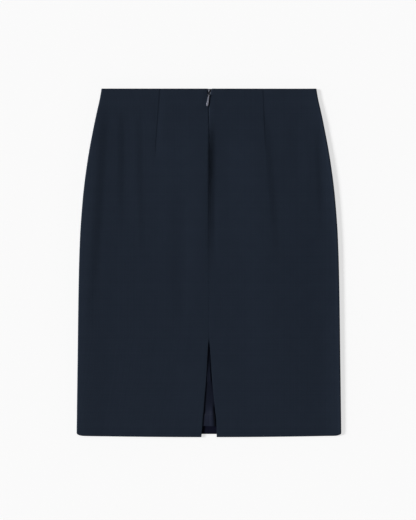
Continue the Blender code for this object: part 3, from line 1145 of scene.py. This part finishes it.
# %% Zip coils
COIL_PITCH = 0.8
COIL_WIDTH = 0.55
COIL_HEIGHT = 0.42
COIL_WIRE = 0.2
COIL_POINTS_A_TURN = 8
COIL_RUNS = ((TAPE_TOP + 0.4, 7.0), (16.5, ZIP_LENGTH - 1.0))
MESHED_OFFSET = 0.4
WELD_REACH = 0.00001
NYLON = Look(
    dark=(0.020, 0.025, 0.036),
    light=(0.034, 0.040, 0.054),
    roughness=(0.25, 0.4),
    relief=(0.00002, 0.4),
)


def coil_point(side, depth):
    """A point of the spiral whose axis runs down the inner edge of a tape."""
    turn = 2 * math.pi * depth / COIL_PITCH + (math.pi if side > 0 else 0.0)
    line = seam_line(depth) + side * tape_edge(side, depth, MESHED_OFFSET)
    reach = COIL_HEIGHT + COIL_WIRE
    axis_height = max(tape_height(line, depth) - TAPE_WALL - reach, CLOTH + TAPE_GAP + reach)
    return line + COIL_WIDTH * math.cos(turn), depth, axis_height + COIL_HEIGHT * math.sin(turn)


def wind_coil(name, side):
    curve = bpy.data.curves.new(name, "CURVE")
    curve.dimensions = "3D"
    curve.bevel_depth = COIL_WIRE * MM
    curve.bevel_resolution = 1
    curve.use_fill_caps = True
    for start, end in COIL_RUNS:
        count = int((end - start) / COIL_PITCH * COIL_POINTS_A_TURN)
        spline = curve.splines.new("POLY")
        spline.points.add(count)
        for index, point in enumerate(spline.points):
            point.co = (*to_world(*coil_point(side, start + (end - start) * index / count)), 1.0)
    pick(add_object(name, curve))
    bpy.ops.object.convert(target="MESH")
    coil = bpy.context.object
    weld = coil.modifiers.new("Weld", "WELD")
    weld.merge_threshold = WELD_REACH
    apply_modifiers(coil)
    return coil


nylon = make_grained("navy_nylon", NYLON, scale=900.0, detail=2.0)
for side, name in ((-1, "zip_coil_left"), (1, "zip_coil_right")):
    dress(wind_coil(name, side), nylon)

# %% [markdown]
# ## Enamel on zinc
#
# The slider and its pull are die-cast and painted. They share one look in two colours: the
# slider's dark navy is painted shade for the shade it lies in, and the pull's pale grey blue
# is partly its own colour and partly painted reflection of its glossy face. The paint is
# smooth with a faint orange peel, which a fine noise gives to both its roughness and its bump.

# %% The enamel material
# Pale grey blue: partly the pull's own colour, partly painted reflection.
PULL_ENAMEL_PAINTED_REFLECTION = Look(
    dark=(0.34, 0.35, 0.43),
    light=(0.42, 0.43, 0.52),
    roughness=(0.3, 0.42),
    relief=(0.00002, 0.3),
)
# The same look in dark navy for the slider: painted shade.
SLIDER_ENAMEL_PAINTED_SHADE = PULL_ENAMEL_PAINTED_REFLECTION._replace(dark=(0.024, 0.028, 0.042), light=(0.036, 0.041, 0.058))


def make_enamel(name, look):
    material, tree, shader = new_material(name)
    coordinates = tree.nodes.new("ShaderNodeTexCoord").outputs["Object"]
    cloud = cloudy(tree, coordinates, 350.0, 2.0)
    peel = cloudy(tree, coordinates, 2200.0, 1.0)
    apply_look(tree, shader, look, cloud, peel, peel)
    set_sockets(shader, metallic=0.25, coat_weight=0.2, coat_roughness=0.25)
    return material


# Pull with painted reflection, slider with painted shade.
pull_enamel_painted_reflection = make_enamel("grey_blue_enamel", PULL_ENAMEL_PAINTED_REFLECTION)
slider_enamel_painted_shade = make_enamel("navy_enamel", SLIDER_ENAMEL_PAINTED_SHADE)
print("enamel ready")

# %% [markdown]
# ## The slider
#
# The slider's plate runs under the cloth, round the coils. What shows is its crown, in the
# notch, and the bridge that holds the pull. The plates are cubes that are tapered in edit
# mode and bevelled. The bridge is a small square that is drawn up from the crown, spun half
# round over the bar of the pull and drawn down again.

# %% Zip slider
PULL_AXIS = Vector(frame["joints"][0]["pos_m"])
SLIDER_X = PULL_AXIS.x / MM
SLIDER_DEPTH = SKIRT_LENGTH / 2 - PULL_AXIS.y / MM
PULL_HEIGHT = PULL_AXIS.z / MM
Block = namedtuple("Block", "size height taper rounding")
PLATE = Block((4.6, 9.0, 1.0), 1.95, 0.8, 0.3)
NECK = Block((0.9, 3.8, 1.8), 2.9, 0.9, 0.15)
CROWN = Block((3.5, 4.6, 0.7), 3.75, 0.62, 0.28)
BRIDGE_RADIUS = 1.45
BRIDGE_SQUARE = 0.42
BRIDGE_ROUNDING = 0.14
BRIDGE_STEPS = 12


def round_edges(piece, rounding, segments):
    bevel = piece.modifiers.new("Rounding", "BEVEL")
    bevel.width = rounding * MM
    bevel.segments = segments
    bevel.limit_method = "ANGLE"
    bpy.ops.object.modifier_apply(modifier=bevel.name)


def slider_block(shape):
    """A plate of the slider: narrower towards the hem, with rounded edges."""
    centre = to_world(SLIDER_X, SLIDER_DEPTH, shape.height)
    bpy.ops.object.select_all(action="DESELECT")
    bpy.ops.mesh.primitive_cube_add(size=1, location=centre)
    block = bpy.context.object
    block.scale = [length * MM for length in shape.size]
    bpy.ops.object.transform_apply(location=True, rotation=False, scale=True)
    bpy.ops.object.mode_set(mode="EDIT")
    bpy.ops.mesh.select_all(action="DESELECT")
    bpy.ops.object.mode_set(mode="OBJECT")
    for vertex in block.data.vertices:
        vertex.select = vertex.co.y < centre.y
    bpy.ops.object.mode_set(mode="EDIT")
    bpy.ops.transform.resize(value=(shape.taper, 1, 1), center_override=centre)
    bpy.ops.object.mode_set(mode="OBJECT")
    round_edges(block, shape.rounding, 4)
    return block


def slider_bridge():
    """An arch over the pull's bar, from the crown up and down again."""
    start = to_world(SLIDER_X, SLIDER_DEPTH - BRIDGE_RADIUS, CROWN.height)
    leg = (PULL_HEIGHT - CROWN.height) * MM
    bpy.ops.object.select_all(action="DESELECT")
    bpy.ops.mesh.primitive_plane_add(size=BRIDGE_SQUARE * MM, location=start)
    bridge = bpy.context.object
    bpy.ops.object.transform_apply(location=True, rotation=False, scale=False)
    bpy.ops.object.mode_set(mode="EDIT")
    bpy.ops.mesh.select_all(action="SELECT")
    bpy.ops.mesh.extrude_region_move(TRANSFORM_OT_translate={"value": (0, 0, leg)})
    bpy.ops.mesh.spin(steps=BRIDGE_STEPS, angle=-math.pi, center=PULL_AXIS, axis=(1, 0, 0))
    bpy.ops.mesh.extrude_region_move(TRANSFORM_OT_translate={"value": (0, 0, -leg)})
    bpy.ops.mesh.select_all(action="SELECT")
    bpy.ops.mesh.remove_doubles(threshold=WELD_REACH)
    bpy.ops.mesh.fill_holes(sides=4)
    bpy.ops.mesh.normals_make_consistent(inside=False)
    bpy.ops.object.mode_set(mode="OBJECT")
    round_edges(bridge, BRIDGE_ROUNDING, 3)
    return bridge


blocks = [slider_block(shape) for shape in (PLATE, NECK, CROWN)]
slider = join([*blocks, slider_bridge()], "zip_slider_enamel")
bpy.ops.object.shade_smooth_by_angle(angle=math.radians(40))
dress(slider, slider_enamel_painted_shade, stands_for=["zip_slider"])

# %% [markdown]
# ## The pull
#
# The pull is a flat drop with an eye at its top, cast in one piece. Its outline is a smooth
# closed curve with a second one for the eye. The curve's own extrusion and bevel give the
# thickness and the rounded rim before it is turned into a mesh. It moves with its own body,
# so that it can be lifted.

# %% Zip pull
PULL_WALL = 1.0
PULL_RIM = 0.16
PULL_TILT = math.radians(10)
PULL_WELD = 0.000005
Corner = namedtuple("Corner", "x y")
PULL_SIDE = (
    Corner(0.95, 0.0),
    Corner(0.95, -2.6),
    Corner(0.85, -4.6),
    Corner(1.15, -9.0),
    Corner(1.6, -13.5),
    Corner(1.25, -17.8),
)
PULL_TOP, PULL_TIP = Corner(0, 0.45), Corner(0, -19.1)
EYE_SIDE = (Corner(0.56, -0.75), Corner(0.56, -2.5))
EYE_TOP, EYE_END = Corner(0, -0.5), Corner(0, -2.85)


def add_outline(curve, top, side, end, inset):
    """A closed smooth outline, the same on its left and its right, drawn in by inset."""
    middle = (top.y + end.y) / 2
    corners = [top, *side, end, *(Corner(-corner.x, corner.y) for corner in reversed(side))]
    spline = curve.splines.new("BEZIER")
    spline.bezier_points.add(len(corners) - 1)
    for point, corner in zip(spline.bezier_points, corners):
        x = corner.x - math.copysign(inset, corner.x) if corner.x else 0.0
        y = corner.y
        if corner in (top, end):
            y -= math.copysign(inset, corner.y - middle)
        point.co = (x * MM, y * MM, 0)
        point.handle_left_type = point.handle_right_type = "AUTO"
    spline.use_cyclic_u = True


curve = bpy.data.curves.new("zip_pull_enamel", "CURVE")
curve.dimensions = "2D"
curve.fill_mode = "BOTH"
curve.extrude = (PULL_WALL / 2 - PULL_RIM) * MM
curve.bevel_depth = PULL_RIM * MM
curve.bevel_resolution = 3
curve.resolution_u = 12
add_outline(curve, PULL_TOP, PULL_SIDE, PULL_TIP, PULL_RIM)
add_outline(curve, EYE_TOP, EYE_SIDE, EYE_END, -PULL_RIM)
pull = add_object("zip_pull_enamel", curve)
pull.location = PULL_AXIS
pull.rotation_euler.z = -PULL_TILT
pick(pull)
bpy.ops.object.convert(target="MESH")
pull = bpy.context.object
bpy.ops.object.transform_apply(location=True, rotation=True, scale=True)
bpy.ops.object.mode_set(mode="EDIT")
bpy.ops.mesh.select_all(action="SELECT")
bpy.ops.mesh.remove_doubles(threshold=PULL_WELD)
bpy.ops.mesh.normals_make_consistent(inside=False)
bpy.ops.object.mode_set(mode="OBJECT")
bpy.ops.object.shade_smooth_by_angle(angle=math.radians(35))
dress(pull, pull_enamel_painted_reflection, body="pull", stands_for=["zip_pull"])
